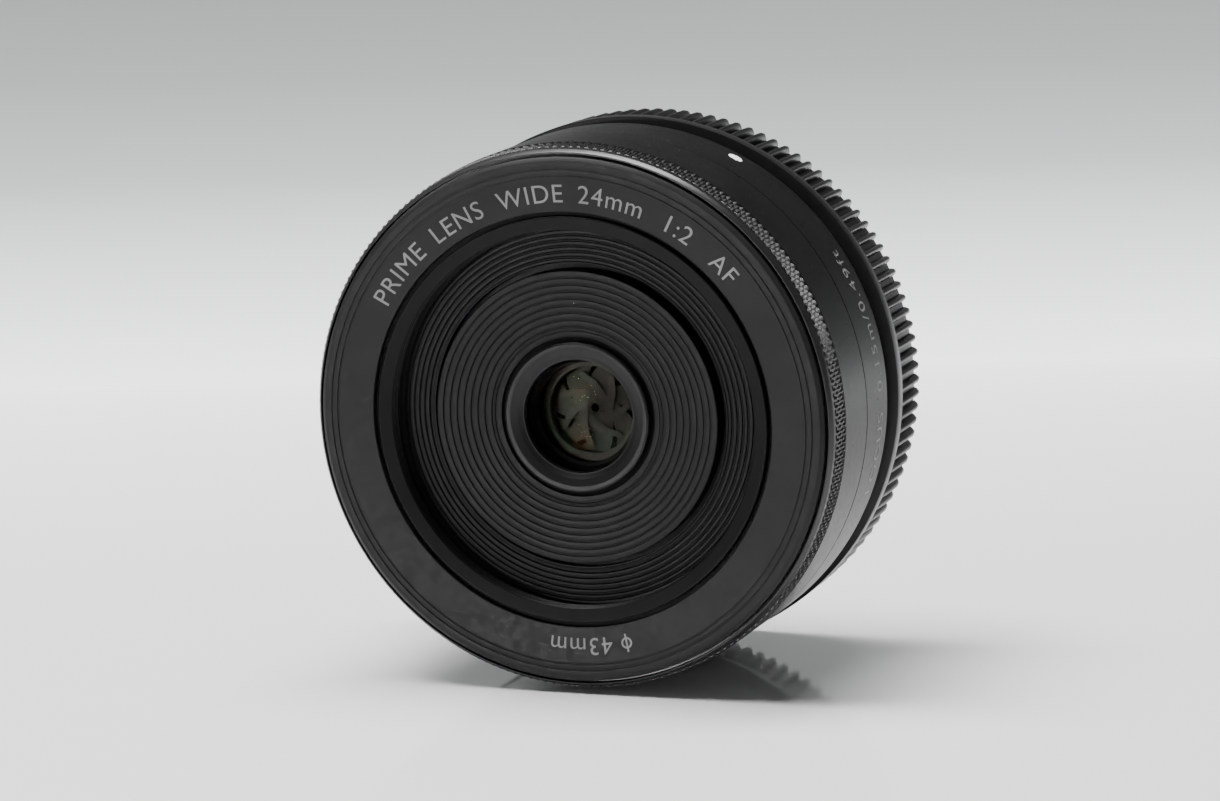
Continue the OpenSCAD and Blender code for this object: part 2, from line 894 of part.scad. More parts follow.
// One blade, drawn open and concentric, then swung shut about its pivot
module iris_blade(i) {
    z = blade_z + i * blade_step;
    color("#2e2f31")
        rotate([0, 0, blade_angles[i]])
            translate([pivot_r, 0, 0])
                rotate([0, 0, closed_angle])
                    translate([-pivot_r, 0, 0]) {
                        sector(open_r, open_r + blade_w, z, z + blade_t, 0, blade_arc);
                        rotate([0, 0, blade_arc])
                            translate([open_r + blade_w / 2, 0, 0])
                                rod(blade_w / 2 - 0.03, z, z + blade_t);
                        translate([open_r + blade_w / 2, -0.7, z])
                            cube([pivot_r + drive_arm - open_r - blade_w / 2, 1.4, blade_t]);
                        translate([open_r + blade_w / 2, 0, 0])
                            rod(blade_w / 2 - 0.03, z, z + blade_t);
                        translate([pivot_r + drive_arm, 0, 0])
                            rod(0.76, z, z + blade_t);
                        translate([pivot_r, 0, 0])
                            rod(blade_pin_r, z + blade_t / 2, iris_plate_top - 0.05);
                        translate([pivot_r + drive_arm, 0, 0])
                            rod(blade_pin_r, iris_ring_z + 0.05, z + blade_t / 2);
                    }
}

// ---- Rear cap ----------------------------------------------------------------------------------------

module rear_cap() {
    cavity_r = 28.2;
    floor_t = 1.4;
    hole_r = lug_r + 0.3;
    root_r = cap_r - 1.0;
    tip_r = cap_r - 0.1;
    rib_half = 360 / cap_ribs * 0.24;
    rib_front = -2.3;
    color("#232427") {
        turned([
            [hole_r, -cap_front], [cap_r - 0.15, -cap_front], [cap_r, -cap_front - 0.15],
            [cap_r, rib_front + 0.2], [root_r, rib_front - 0.1], [root_r, 0.8 - cap_len],
            [root_r - 0.8, -cap_len], [0, -cap_len], [0, floor_t - cap_len],
            [cavity_r - 0.6, floor_t - cap_len], [cavity_r, floor_t - cap_len + 0.6],
            [cavity_r, -1.6], [hole_r, -1.6]
        ]);
        // Grip ribs, tapered towards the rear
        intersection() {
            for (i = [0 : cap_ribs - 1])
                rotate([0, 0, i * 360 / cap_ribs])
                    translate([0, 0, -cap_len])
                        linear_extrude(cap_len + rib_front + 0.4)
                            polygon([
                                polar(root_r - 0.2, -rib_half * 1.5), polar(tip_r, -rib_half * 0.7),
                                polar(tip_r, rib_half * 0.7), polar(root_r - 0.2, rib_half * 1.5)
                            ]);
            turned([
                [root_r - 0.4, rib_front], [tip_r, rib_front], [tip_r - 0.25, 0.7 - cap_len],
                [tip_r - 0.9, -cap_len + 0.1], [root_r - 0.4, -cap_len + 0.1]
            ]);
        }
        // Lugs, standing in the gaps between the lens's own
        for (i = [0 : 2])
            sector(spigot_r + 0.3, hole_r + 0.3, -2.4, -cap_front, i * 120 + 60 - 19, 38);
    }
}

// ---- Assembly ----------------------------------------------------------------------------------------

as_it_lies() name_ring();
as_it_lies() fixed_barrel();
as_it_lies() index_dot();
as_it_lies() light_seal();
as_it_lies() wave_washer();
as_it_lies() focus_sensors();
as_it_lies() guide_tube();
as_it_lies() base_plate();
as_it_lies() bayonet_mount();
as_it_lies() mount_shim();
as_it_lies() mount_screws();
as_it_lies() contact_block();
as_it_lies() contact_pins();
as_it_lies() contact_screws();
as_it_lies() rear_baffle();
as_it_lies() main_board();
as_it_lies() board_chips();
as_it_lies() board_screws();
as_it_lies() gear_bracket();
as_it_lies() bracket_screws();
as_it_lies() gear_shafts();
as_it_lies() focus_motor();
as_it_lies() focus_ring();
as_it_lies() focus_scale();
as_it_lies() cam_ring();
as_it_lies() idler_gear();
as_it_lies() reduction_gear();
as_it_lies() motor_pinion();
as_it_lies() inner_barrel();
as_it_lies() cam_followers();
as_it_lies() unit_base();
as_it_lies() unit_screws();
as_it_lies() front_baffle();
as_it_lies() front_retainer();
as_it_lies() front_cell();
as_it_lies() cell_screws();
as_it_lies() spacer_ring();
as_it_lies() rear_cell();
as_it_lies() rear_cell_screws();
as_it_lies() rear_retainer();
as_it_lies() lens_1();
as_it_lies() lens_2();
as_it_lies() lens_3();
as_it_lies() lens_4();
as_it_lies() lens_5();
as_it_lies() lens_6();
as_it_lies() lens_7();
as_it_lies() iris_base();
as_it_lies() iris_motor();
as_it_lies() iris_ring();
as_it_lies() iris_gear();
as_it_lies() iris_blade(0);  // iris_blade_1
as_it_lies() iris_blade(1);  // iris_blade_2
as_it_lies() iris_blade(2);  // iris_blade_3
as_it_lies() iris_blade(3);  // iris_blade_4
as_it_lies() iris_blade(4);  // iris_blade_5
as_it_lies() iris_blade(5);  // iris_blade_6
as_it_lies() iris_blade(6);  // iris_blade_7
as_it_lies() rear_cap();
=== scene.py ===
"""Looks for a short prime lens lying on its side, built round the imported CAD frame.

Lens coordinates are used for every piece: r and angle about the optical axis, seen from the front,
and z forwards from the mount flange, in millimetres. place() turns them into the row frame in metres.
"""

import json
import math

import bmesh
import bpy
from mathutils import Matrix, Vector


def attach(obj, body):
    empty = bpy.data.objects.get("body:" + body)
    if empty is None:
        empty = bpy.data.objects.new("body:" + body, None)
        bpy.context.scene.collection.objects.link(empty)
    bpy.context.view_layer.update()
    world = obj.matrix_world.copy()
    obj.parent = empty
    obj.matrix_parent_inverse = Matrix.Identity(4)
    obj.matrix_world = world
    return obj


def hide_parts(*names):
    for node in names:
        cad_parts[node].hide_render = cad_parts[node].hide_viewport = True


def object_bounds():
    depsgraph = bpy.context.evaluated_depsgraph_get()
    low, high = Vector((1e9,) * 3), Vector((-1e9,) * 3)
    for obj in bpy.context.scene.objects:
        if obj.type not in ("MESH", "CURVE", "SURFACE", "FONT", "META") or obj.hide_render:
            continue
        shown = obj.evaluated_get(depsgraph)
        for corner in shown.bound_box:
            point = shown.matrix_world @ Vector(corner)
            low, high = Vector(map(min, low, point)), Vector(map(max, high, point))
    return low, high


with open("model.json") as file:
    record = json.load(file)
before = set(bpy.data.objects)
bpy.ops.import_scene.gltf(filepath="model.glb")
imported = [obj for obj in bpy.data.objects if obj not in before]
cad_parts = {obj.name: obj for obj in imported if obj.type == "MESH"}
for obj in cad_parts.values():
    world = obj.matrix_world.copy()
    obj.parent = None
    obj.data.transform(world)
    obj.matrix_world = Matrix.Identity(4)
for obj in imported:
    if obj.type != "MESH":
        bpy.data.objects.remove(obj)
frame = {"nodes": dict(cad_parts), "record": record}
cad_low, cad_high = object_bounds()

MM = 0.001
STEPS = 288
FACE = 23.7
BARREL_R = 30.45
SHARP = math.radians(38)
# Grain of every bump, in metres: 0.01 mm
GRAIN = 0.00001
# How far lettering is sunk into its surface and how far it stands proud
LETTER_SUNK, LETTER_PROUD = -0.03, 0.018


def place(r, angle, z):
    a = math.radians(angle)
    return Vector((r * math.cos(a) * MM, -z * MM, r * math.sin(a) * MM))


# ---- Materials -------------------------------------------------------------------------------------


class Nodes:
    """A material's node tree, with short ways to add and join nodes."""

    def __init__(self, name):
        self.mat = bpy.data.materials.new(name)
        self.mat.use_nodes = True
        self.tree = self.mat.node_tree
        self.tree.nodes.clear()
        self.out = self.add("ShaderNodeOutputMaterial")
        self.coords = self.add("ShaderNodeTexCoord").outputs["Object"]

    def add(self, kind, **settings):
        n = self.tree.nodes.new(kind)
        for key, value in settings.items():
            setattr(n, key, value)
        return n

    def join(self, a, b):
        self.tree.links.new(a, b)
        return b

    def put(self, n, **values):
        """Sets sockets by name, with _ for a space; a socket as value is linked."""
        for key, value in values.items():
            socket = n.inputs[key.replace("_", " ")]
            if isinstance(value, bpy.types.NodeSocket):
                self.join(value, socket)
            else:
                socket.default_value = value
        return n

    def noise(self, scale, detail=4.0, rough=0.55, vector=None):
        n = self.add("ShaderNodeTexNoise")
        self.put(n, Vector=vector or self.coords, Scale=scale, Detail=detail, Roughness=rough)
        return n.outputs["Fac"]

    def spread(self, fac, low, high, start=0.3, end=0.7):
        n = self.add("ShaderNodeMapRange", clamp=True)
        self.put(n, Value=fac, From_Min=start, From_Max=end, To_Min=low, To_Max=high)
        return n.outputs["Result"]

    def sum_of(self, kind, a, b=0.0):
        n = self.add("ShaderNodeMath", operation=kind)
        for i, value in enumerate((a, b)):
            if isinstance(value, bpy.types.NodeSocket):
                self.join(value, n.inputs[i])
            else:
                n.inputs[i].default_value = value
        return n.outputs[0]

    def mix(self, fac, a, b):
        n = self.add("ShaderNodeMix", data_type="RGBA")
        for socket, value in ((n.inputs[0], fac), (n.inputs[6], a), (n.inputs[7], b)):
            if isinstance(value, bpy.types.NodeSocket):
                self.join(value, socket)
            else:
                socket.default_value = value
        return n.outputs[2]

    def rings(self, scale, detail=3.0):
        """Noise that depends only on the distance from the optical axis and along it: turned metal."""
        xyz = self.add("ShaderNodeSeparateXYZ")
        self.join(self.coords, xyz.inputs[0])
        square = self.sum_of(
            "ADD",
            self.sum_of("MULTIPLY", xyz.outputs[0], xyz.outputs[0]),
            self.sum_of("MULTIPLY", xyz.outputs[2], xyz.outputs[2]),
        )
        both = self.add("ShaderNodeCombineXYZ")
        self.join(self.sum_of("SQRT", square), both.inputs[0])
        self.join(xyz.outputs[1], both.inputs[1])
        return self.noise(scale, detail, 0.6, both.outputs[0])

    def bump(self, height, strength, distance, normal=None):
        n = self.add("ShaderNodeBump")
        self.put(n, Strength=strength, Distance=distance, Height=height)
        if normal:
            self.join(normal, n.inputs["Normal"])
        return n.outputs[0]

    def shade(self, **values):
        n = self.add("ShaderNodeBsdfPrincipled")
        self.put(n, **values)
        self.join(n.outputs[0], self.out.inputs[0])
        return n


def grey(v, warm=0.0):
    return (v * (1 + warm), v, v * (1 - warm), 1.0)


def satin(name, colour, rough, grain=9000.0, depth=0.35, specks=0.0, metal=0.0, turned=0.0, specular=0.5):
    """Painted, anodised or moulded surface: fine grain, faint cloudiness and a little dust."""
    m = Nodes(name)
    cloud = m.spread(m.noise(160.0), 0.0, 1.0)
    light = tuple(min(1.0, c * 1.22) for c in colour[:3]) + (1.0,)
    dark = tuple(c * 0.84 for c in colour[:3]) + (1.0,)
    tone = m.mix(cloud, dark, light)
    roughness = m.spread(m.noise(900.0, 5.0), rough - 0.02, rough + 0.025)
    if specks:
        cells = m.add("ShaderNodeTexVoronoi")
        m.put(cells, Vector=m.coords, Scale=430.0)
        near = m.sum_of("LESS_THAN", cells.outputs["Distance"], 0.022)
        split = m.add("ShaderNodeSeparateColor")
        m.join(cells.outputs["Color"], split.inputs[0])
        some = m.sum_of("GREATER_THAN", split.outputs[0], 1.0 - specks)
        tone = m.mix(m.sum_of("MULTIPLY", near, some), tone, grey(0.32))
    fine = m.bump(m.noise(grain, 3.0, 0.7), depth, GRAIN)
    if turned:
        fine = m.bump(m.rings(9000.0), turned, GRAIN, fine)
    m.shade(Base_Color=tone, Metallic=metal, Roughness=roughness, Normal=fine,
            Specular_IOR_Level=specular)
    return m.mat


def bare_metal(name, colour, rough, turned=0.5, blotch=0.1):
    """Machined or plated metal with concentric tool marks."""
    m = Nodes(name)
    marks = m.rings(7000.0, 5.0)
    tone = m.mix(m.spread(marks, 0.0, 0.5), colour, tuple(c * 0.72 for c in colour[:3]) + (1.0,))
    tone = m.mix(m.spread(m.noise(300.0), 0.0, blotch), tone, tuple(c * 0.5 for c in colour[:3]) + (1.0,))
    roughness = m.spread(m.noise(900.0, 5.0), rough - 0.06, rough + 0.1)
    m.shade(Base_Color=tone, Metallic=1.0, Roughness=roughness, Normal=m.bump(marks, turned, GRAIN))
    return m.mat


def board(name):
    """Solder mask with faint copper tracks under it."""
    m = Nodes(name)
    brick = m.add("ShaderNodeTexBrick")
    m.put(brick, Vector=m.coords, Scale=620.0, Mortar_Size=0.03)
    tone = m.mix(brick.outputs["Fac"], (0.012, 0.085, 0.04, 1), (0.03, 0.19, 0.09, 1))
    tone = m.mix(m.spread(m.noise(500.0), 0.0, 0.4), tone, (0.008, 0.05, 0.03, 1))
    m.shade(Base_Color=tone, Roughness=m.spread(m.noise(2000.0), 0.3, 0.45),
            Normal=m.bump(brick.outputs["Fac"], 0.3, 0.00002))
    return m.mat


def stripes(name):
    """Reflective strip with fine dark bars across it, read by a sensor."""
    m = Nodes(name)
    xyz = m.add("ShaderNodeSeparateXYZ")
    m.join(m.coords, xyz.inputs[0])
    angle = m.sum_of("ARCTAN2", xyz.outputs[2], xyz.outputs[0])
    bars = m.sum_of("GREATER_THAN", m.sum_of("SINE", m.sum_of("MULTIPLY", angle, 240.0)), 0.0)
    tone = m.mix(bars, (0.62, 0.63, 0.65, 1), (0.03, 0.03, 0.032, 1))
    m.shade(Base_Color=tone, Metallic=0.8, Roughness=m.spread(m.noise(3000.0), 0.22, 0.34))
    return m.mat


def glass(name, tint, coating, outer, inner):
    """Coated glass: clear, with a faint mirror image, outer for the surface a ray meets first and inner
    for the one it leaves by; lamps light what lies behind it."""
    m = Nodes(name)
    haze = m.spread(m.noise(260.0), 0.0, 0.012, 0.5, 0.8)
    body = m.put(m.add("ShaderNodeBsdfRefraction"), Roughness=haze, IOR=1.5, Color=tint)
    mirror = m.put(m.add("ShaderNodeBsdfGlossy"), Roughness=0.03)
    m.join(m.mix(m.spread(m.noise(70.0), 0.0, 0.4), coating, (0.6, 0.6, 0.6, 1)), mirror.inputs["Color"])
    edge = m.put(m.add("ShaderNodeFresnel"), IOR=1.5)
    coated = m.put(m.add("ShaderNodeMixShader"))
    leaving = m.add("ShaderNodeNewGeometry").outputs["Backfacing"]
    m.join(m.sum_of("MULTIPLY", edge.outputs[0], m.spread(leaving, outer, inner, 0.0, 1.0)), coated.inputs[0])
    m.join(body.outputs[0], coated.inputs[1])
    m.join(mirror.outputs[0], coated.inputs[2])
    clear = m.put(m.add("ShaderNodeBsdfTransparent"), Color=tint)
    choose = m.add("ShaderNodeMixShader")
    m.join(m.add("ShaderNodeLightPath").outputs["Is Shadow Ray"], choose.inputs[0])
    m.join(coated.outputs[0], choose.inputs[1])
    m.join(clear.outputs[0], choose.inputs[2])
    m.join(choose.outputs[0], m.out.inputs[0])
    return m.mat


def leaf_look(name):
    """Blackened thin metal, with painted light: a little lighter towards the front, where the tips lie."""
    m = Nodes(name)
    xyz = m.add("ShaderNodeSeparateXYZ")
    m.join(m.coords, xyz.inputs[0])
    # Painted light: the leaves' colour brightens towards the front, standing in for the light the tips catch.
    front_lit_share = m.spread(xyz.outputs[1], 0.0, 1.0, -0.0137, -0.0143)
    tone = m.mix(front_lit_share, (0.0030, 0.0028, 0.0031, 1), (0.0100, 0.0094, 0.0102, 1))
    tone = m.mix(m.spread(m.noise(900.0), 0.0, 0.25), tone, grey(0.004))
    m.shade(Base_Color=tone, Metallic=0.15, Roughness=m.spread(m.noise(2600.0), 0.36, 0.46),
            Specular_IOR_Level=0.15, Normal=m.bump(m.noise(9000.0, 3.0), 0.1, GRAIN))
    return m.mat


def flock(name):
    m = Nodes(name)
    fur = m.noise(14000.0, 2.0, 0.9)
    m.shade(Base_Color=m.mix(fur, grey(0.003), grey(0.012)), Roughness=m.spread(fur, 0.85, 1.0),
            Normal=m.bump(fur, 0.8, 0.00003), Sheen_Weight=0.3)
    return m.mat


LOOK = {
    "black_paint": satin("black_paint", grey(0.0066), 0.29, specks=0.03, depth=0.012, specular=0.045),
    "ring_black": satin("ring_black", grey(0.0066), 0.29, specks=0.03, depth=0.012, specular=0.045),
    "white_mark": satin("white_mark", grey(0.80, 0.01), 0.5, grain=7000.0),
    "felt": flock("felt"),
    "spring_steel": bare_metal("spring_steel", (0.6, 0.6, 0.61, 1), 0.3),
    "dark_plastic": satin("dark_plastic", grey(0.006), 0.5, grain=5200.0, depth=0.5, specular=0.2),
    "anodised": satin("anodised", grey(0.05), 0.36, metal=0.8, turned=0.4),
    "mount_metal": bare_metal("mount_metal", (0.66, 0.66, 0.67, 1), 0.2),
    "brass": bare_metal("brass", (0.72, 0.52, 0.22, 1), 0.26),
    "screw_steel": bare_metal("screw_steel", (0.34, 0.34, 0.36, 1), 0.3, 0.3),
    "board_green": board("board_green"),
    "motor_can": bare_metal("motor_can", (0.46, 0.46, 0.49, 1), 0.26),
    "scale_silver": stripes("scale_silver"),
    "gear_plastic": satin("gear_plastic", (0.60, 0.56, 0.44, 1), 0.42, depth=0.3),
    "baffle_black": satin(
        "baffle_black", grey(0.0034, 0.02), 0.40, turned=0.2, depth=0.1, specks=0.05, specular=0.11,
    ),
    "satin_grey": satin(
        "satin_grey", grey(0.0065), 0.42, grain=7500.0, depth=0.7, specks=0.03, specular=0.22,
    ),
    "optical_glass": glass("optical_glass", (0.985, 0.985, 0.975, 1), (0.25, 0.95, 0.38, 1), 0.006, 0.055),
    "blade_black": leaf_look("blade_black"),
    "cap_black": satin("cap_black", grey(0.0082), 0.36, grain=4200.0, depth=0.16, specks=0.05, specular=0.28),
}
FACE_BLACK = satin("face_black", grey(0.0122), 0.46, grain=5200.0, depth=0.5, specks=0.08, specular=0.14)
CELL_BLACK = satin("cell_black", grey(0.0014), 0.5, specular=0.04)
# Knurl faces: the ring's black made lighter and glossier; the lighter colour is painted highlight for the
# light the diamond tops catch.
GRIP_HIGHLIGHT_BLACK = satin("grip_highlight_black", grey(0.011), 0.30, grain=6000.0, depth=0.05, specular=0.4)
LETTER = satin("letter_grey", grey(0.20), 0.5, grain=7000.0, specular=0.2)
SMALL_LETTER = satin("small_letter_grey", grey(0.15), 0.5, grain=7000.0, specular=0.2)
BACK_GLASS = glass("back_glass", (0.985, 0.985, 0.975, 1), (0.7, 0.5, 0.95, 1), 0.02, 0.02)
GREEN_GLASS = glass("green_glass", (0.985, 0.985, 0.975, 1), (0.4, 0.8, 0.6, 1), 0.008, 0.008)
AMBER_GLASS = glass("amber_glass", (0.985, 0.98, 0.97, 1), (1.0, 0.42, 0.12, 1), 0.03, 0.03)


# ---- Mesh helpers ----------------------------------------------------------------------------------


def finish_mesh(bm, name, body, material, stands_for=(), weighted=True):
    bmesh.ops.recalc_face_normals(bm, faces=bm.faces)
    for edge in bm.edges:
        edge.smooth = edge.calc_face_angle(0.0) < SHARP
    for face in bm.faces:
        face.smooth = True
    mesh = bpy.data.meshes.new(name)
    bm.to_mesh(mesh)
    bm.free()
    obj = bpy.data.objects.new(name, mesh)
    bpy.context.scene.collection.objects.link(obj)
    mesh.materials.append(material)
    if weighted:
        even = obj.modifiers.new("even_normals", "WEIGHTED_NORMAL")
        even.keep_sharp = True
    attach(obj, body)
    if stands_for:
        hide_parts(*stands_for)
    return obj


def rounded(points, corner):
    """A closed outline of (r, z) or (r, z, own corner radius) with each corner cut to an arc."""
    out = []
    count = len(points)
    for i, p in enumerate(points):
        here = Vector(p[:2])
        before, after = Vector(points[i - 1][:2]) - here, Vector(points[(i + 1) % count][:2]) - here
        radius = p[2] if len(p) > 2 else corner
        bend = before.angle(after, math.pi)
        if radius <= 0 or here.x < 1e-6 or bend > math.radians(172):
            out.append(here)
            continue
        cut = min(radius / math.tan(bend / 2), 0.42 * before.length, 0.42 * after.length)
        start, end = here + before.normalized() * cut, here + after.normalized() * cut
        for k in range(4):
            t = k / 3
            out.append(start * (1 - t) ** 2 + here * (2 * t * (1 - t)) + end * t * t)
    return out


def skin(bm, rings, count):
    """Joins each ring to the one before it, the first to the last; a ring of one vertex is a pole."""
    for i, ring in enumerate(rings):
        before = rings[i - 1]
        for k in range(count):
            n = (k + 1) % count
            corners = [before[k % len(before)], before[n % len(before)]]
            corners += [ring[n % len(ring)], ring[k % len(ring)]]
            unique = list(dict.fromkeys(corners))
            if len(unique) > 2:
                bm.faces.new(unique)


def add_lathe(bm, outline, corner=0.05, steps=STEPS):
    """Adds a closed turned solid to bm."""
    rings = []
    for p in rounded(outline, corner):
        if p.x < 1e-6:
            rings.append([bm.verts.new(place(0, 0, p.y))])
        else:
            rings.append([bm.verts.new(place(p.x, 360 * k / steps, p.y)) for k in range(steps)])
    skin(bm, rings, steps)


def lathe(name, outline, body, material, stands_for=(), corner=0.05, steps=STEPS):
    bm = bmesh.new()
    add_lathe(bm, outline, corner, steps)
    return finish_mesh(bm, name, body, material, stands_for)


def lens_outline(rim, front_z, rear_z, front_curve, rear_curve):
    """Outline of a lens element; a positive curve bulges outwards."""
    sag = lambda r, c: abs(c) - math.sqrt(c * c - r * r)
    rear, front = [], []
    for k in range(13):
        r = rim * k / 12
        rear.append((r, rear_z + math.copysign(sag(r, rear_curve), rear_curve), 0))
        front.append((r, front_z - math.copysign(sag(r, front_curve), front_curve), 0))
    return rear + front[::-1]


# ---- Barrel ----------------------------------------------------------------------------------------

# Inner edge of the front face, and how far the face is dished there
FACE_IN = 23.24
name_rise = 0.4
groove_a, groove_b = 27.2, 27.92
groove_d = 0.14
lathe(
    "front_name_ring",
    [
        (FACE_IN, 22.3), (FACE_IN, FACE - name_rise, 0.10), (groove_a, FACE, 0.03),
        (groove_a, FACE - groove_d, 0),
        (groove_a + 0.24, FACE - groove_d, 0), (groove_a + 0.24, FACE, 0.03), (groove_b, FACE, 0.03),
        (groove_b, FACE - groove_d, 0), (groove_b + 0.2, FACE - groove_d, 0), (groove_b + 0.2, FACE, 0.03),
        (28.85, FACE, 0.12), (29.28, FACE - 0.3, 0.08), (29.28, 22.3),
    ],
    "barrel", FACE_BLACK, ["name_ring"], corner=0.04, steps=384,
)
lathe(
    "barrel_shell",
    [
        (29.1, 1.2), (29.85, 1.2, 0.12), (BARREL_R, 3.2, 0.35), (BARREL_R, 11.0, 0.05), (28.95, 11.0),
        (28.95, 22.3), (27.9, 22.3), (27.9, 5.0), (26.3, 5.0), (26.3, 2.1), (29.1, 2.1),
    ],
    "barrel", LOOK["black_paint"], ["fixed_barrel"], steps=384,
)


def dot(name, angle, z, radius, body, material, stands_for):
    """A painted disc that follows the barrel's curve."""
    count = 48
    bm = bmesh.new()
    rims = []
    for depth, size in ((-0.05, radius), (0.008, radius), (0.022, radius - 0.05)):
        ring = []
        for k in range(count):
            a = 2 * math.pi * k / count
            turn = math.degrees(size * math.cos(a) / BARREL_R)
            ring.append(bm.verts.new(place(BARREL_R + depth, angle + turn, z + size * math.sin(a))))
        rims.append(ring)
    for low, high in zip(rims, rims[1:]):
        for k in range(count):
            n = (k + 1) % count
            bm.faces.new([low[k], low[n], high[n], high[k]])
    for ring, depth in ((rims[0], -0.05), (rims[-1], 0.022)):
        middle = bm.verts.new(place(BARREL_R + depth, angle, z))
        for k in range(count):
            bm.faces.new([ring[k], ring[(k + 1) % count], middle])
    return finish_mesh(bm, name, body, material, stands_for)


dot("mounting_index", 62.8, 5.35, 0.85, "barrel", LOOK["white_mark"], ["index_dot"])


# ---- Focus ring --------------------------------------------------------------------------------------

KNURL_Z0, KNURL_Z1 = 19.3, 22.0
KNURL_TEETH, KNURL_ROWS = 206, 4


def knurl_r(z):
    """Tip radius of the knurl, a little smaller towards the front."""
    return 30.42 - 0.12 * (z - KNURL_Z0) / (KNURL_Z1 - KNURL_Z0)


def add_knurl(bm):
    """Rows of flat-topped diamonds with V grooves between them, halved at both ends of the band."""
    half_a = 180 / KNURL_TEETH
    half_z = (KNURL_Z1 - KNURL_Z0) / KNURL_ROWS
    keep, depth = 0.27, 0.30
    shared = {}

    def low(i, j):
        key = (i % (2 * KNURL_TEETH), j)
        if key not in shared:
            z = KNURL_Z0 + j * half_z
            shared[key] = bm.verts.new(place(knurl_r(z) - depth, key[0] * half_a, z))
        return shared[key]

    def high(i, j, di, dj):
        z = KNURL_Z0 + (j + dj * keep) * half_z
        return bm.verts.new(place(knurl_r(z), (i + di * keep) * half_a, z))

    for j in range(KNURL_ROWS + 1):
        for i in range(j % 2, 2 * KNURL_TEETH, 2):
            ways = [(1, 0), (0, 1), (-1, 0), (0, -1)]
            if j == 0:
                ways = ways[:3]
            if j == KNURL_ROWS:
                ways = [(-1, 0), (0, -1), (1, 0)]
            base = [low(i + di, j + dj) for di, dj in ways]
            top = [high(i, j, di, dj) for di, dj in ways]
            bm.faces.new(top)
            for k in range(len(ways)):
                n = (k + 1) % len(ways)
                bm.faces.new([base[k], base[n], top[n], top[k]])


bm = bmesh.new()
add_lathe(
    bm,
    [
        (29.03, 11.16), (BARREL_R, 11.16, 0.05), (BARREL_R, KNURL_Z0 - 0.06, 0.05),
        (30.12, KNURL_Z0 + 0.02, 0.02), (30.0, KNURL_Z0 + 0.3, 0), (29.92, KNURL_Z1 - 0.3, 0),
        (30.0, KNURL_Z1 + 0.02, 0.02), (30.16, KNURL_Z1 + 0.12, 0.04), (30.06, 22.55, 0.05),
        (29.76, 23.06, 0.05), (29.6, 23.1, 0.05), (29.6, 22.2), (29.03, 22.2),
    ],
    steps=384,
)
add_knurl(bm)
for face in bm.faces:
    face.material_index = int(-face.calc_center_median().y / MM > KNURL_Z0 - 0.02)
ring = finish_mesh(bm, "focusing_ring", "focus_ring", LOOK["ring_black"], ["focus_ring"])
# The knurl faces take the lighter material, a painted highlight.
ring.data.materials.append(GRIP_HIGHLIGHT_BLACK)


# ---- Lens unit, seen from the front ------------------------------------------------------------------

thread_top, thread_low = 22.85, 21.35
inner = [(17.04, 18.9), (21.9, 18.9), (21.9, 6.6), (22.7, 6.6), (22.7, 23.22, 0.1), (22.55, 23.3, 0.1)]
inner += [(21.25, 22.98, 0.12), (21.1, thread_top, 0.03)]
for turn in range(2):
    crest = thread_top - 0.14 - 0.75 * turn
    inner += [(21.1, crest, 0.02), (21.45, crest - 0.26, 0.02)]
    inner += [(21.45, crest - 0.33, 0.02), (21.1, crest - 0.6, 0.02)]
inner += [(21.1, thread_low, 0.03), (21.5, thread_low - 0.05), (21.5, 20.02, 0.08)]
for k in range(5, -1, -1):
    r = 17.62 + 0.62 * k
    inner += [(r + 0.26, 20.0, 0.04), (r + 0.12, 19.80, 0.03), (r, 19.80, 0.03), (r - 0.05, 20.0, 0.04)]
inner += [(17.3, 20.0), (17.2, 20.12, 0.04), (17.04, 20.12, 0.04)]
lathe(
    "inner_barrel_shell", inner, "lens_unit", LOOK["baffle_black"], ["inner_barrel"],
    corner=0.04,
)

baffle_in, baffle_land, baffle_out = 8.95, 15.84, 16.44


def baffle_z(r):
    return 20.7 + 0.6 * min(1.0, (r - baffle_in) / (baffle_land - baffle_in))


grooves = [9.64, 10.03] + [10.84 + 0.795 * k for k in range(7)]
ridge = [(baffle_in, 20.35), (15.3, 20.35), (15.3, 18.9), (baffle_out, 18.9), (baffle_out, 21.22, 0.06)]
ridge += [(baffle_out - 0.1, 21.3, 0.08), (baffle_land, 21.3, 0.05)]
for k in range(len(grooves) - 1, -1, -1):
    r = grooves[k]
    top = baffle_z(r)
    deep = 0.17 if k > 1 else 0.14
    ridge += [(r + 0.11, top + 0.01, 0.04), (r + 0.06, top - deep, 0.02), (r - 0.06, top - deep, 0.02)]
    ridge += [(r - 0.10, top - 0.045, 0.02), (r - 0.36 if k > 1 else r - 0.17, top - 0.045, 0.03)]
ridge += [(baffle_in, 20.7, 0.05)]
lathe(
    "ribbed_baffle", ridge, "lens_unit", LOOK["baffle_black"], ["front_baffle"], corner=0.03,
)

lathe(
    "glass_retainer",
    [
        (6.36, 19.65), (7.3, 19.45), (7.85, 19.45), (7.85, 20.32), (8.4, 20.32), (8.4, 21.16, 0.08),
        (8.2, 21.3, 0.15), (7.75, 21.26, 0.3), (7.0, 20.92, 0.3), (6.5, 20.58, 0.06), (6.36, 20.56, 0.03),
    ],
    "lens_unit", LOOK["satin_grey"], ["front_retainer"], corner=0.05,
)
lathe(
    "front_cell_walls",
    [
        (5.62, 15.15), (12.1, 15.15), (12.1, 16.0), (9.3, 16.0), (9.3, 20.3), (7.9, 20.3), (7.9, 19.42),
        (7.34, 19.42), (7.34, 17.3), (5.62, 17.3),
    ],
    "lens_unit", CELL_BLACK, ["front_cell"],
)
lathe(
    "element_spacer", [(6.0, 17.32), (7.32, 17.32), (7.32, 17.6), (6.5, 17.6)],
    "lens_unit", CELL_BLACK, ["spacer_ring"], corner=0.02,
)
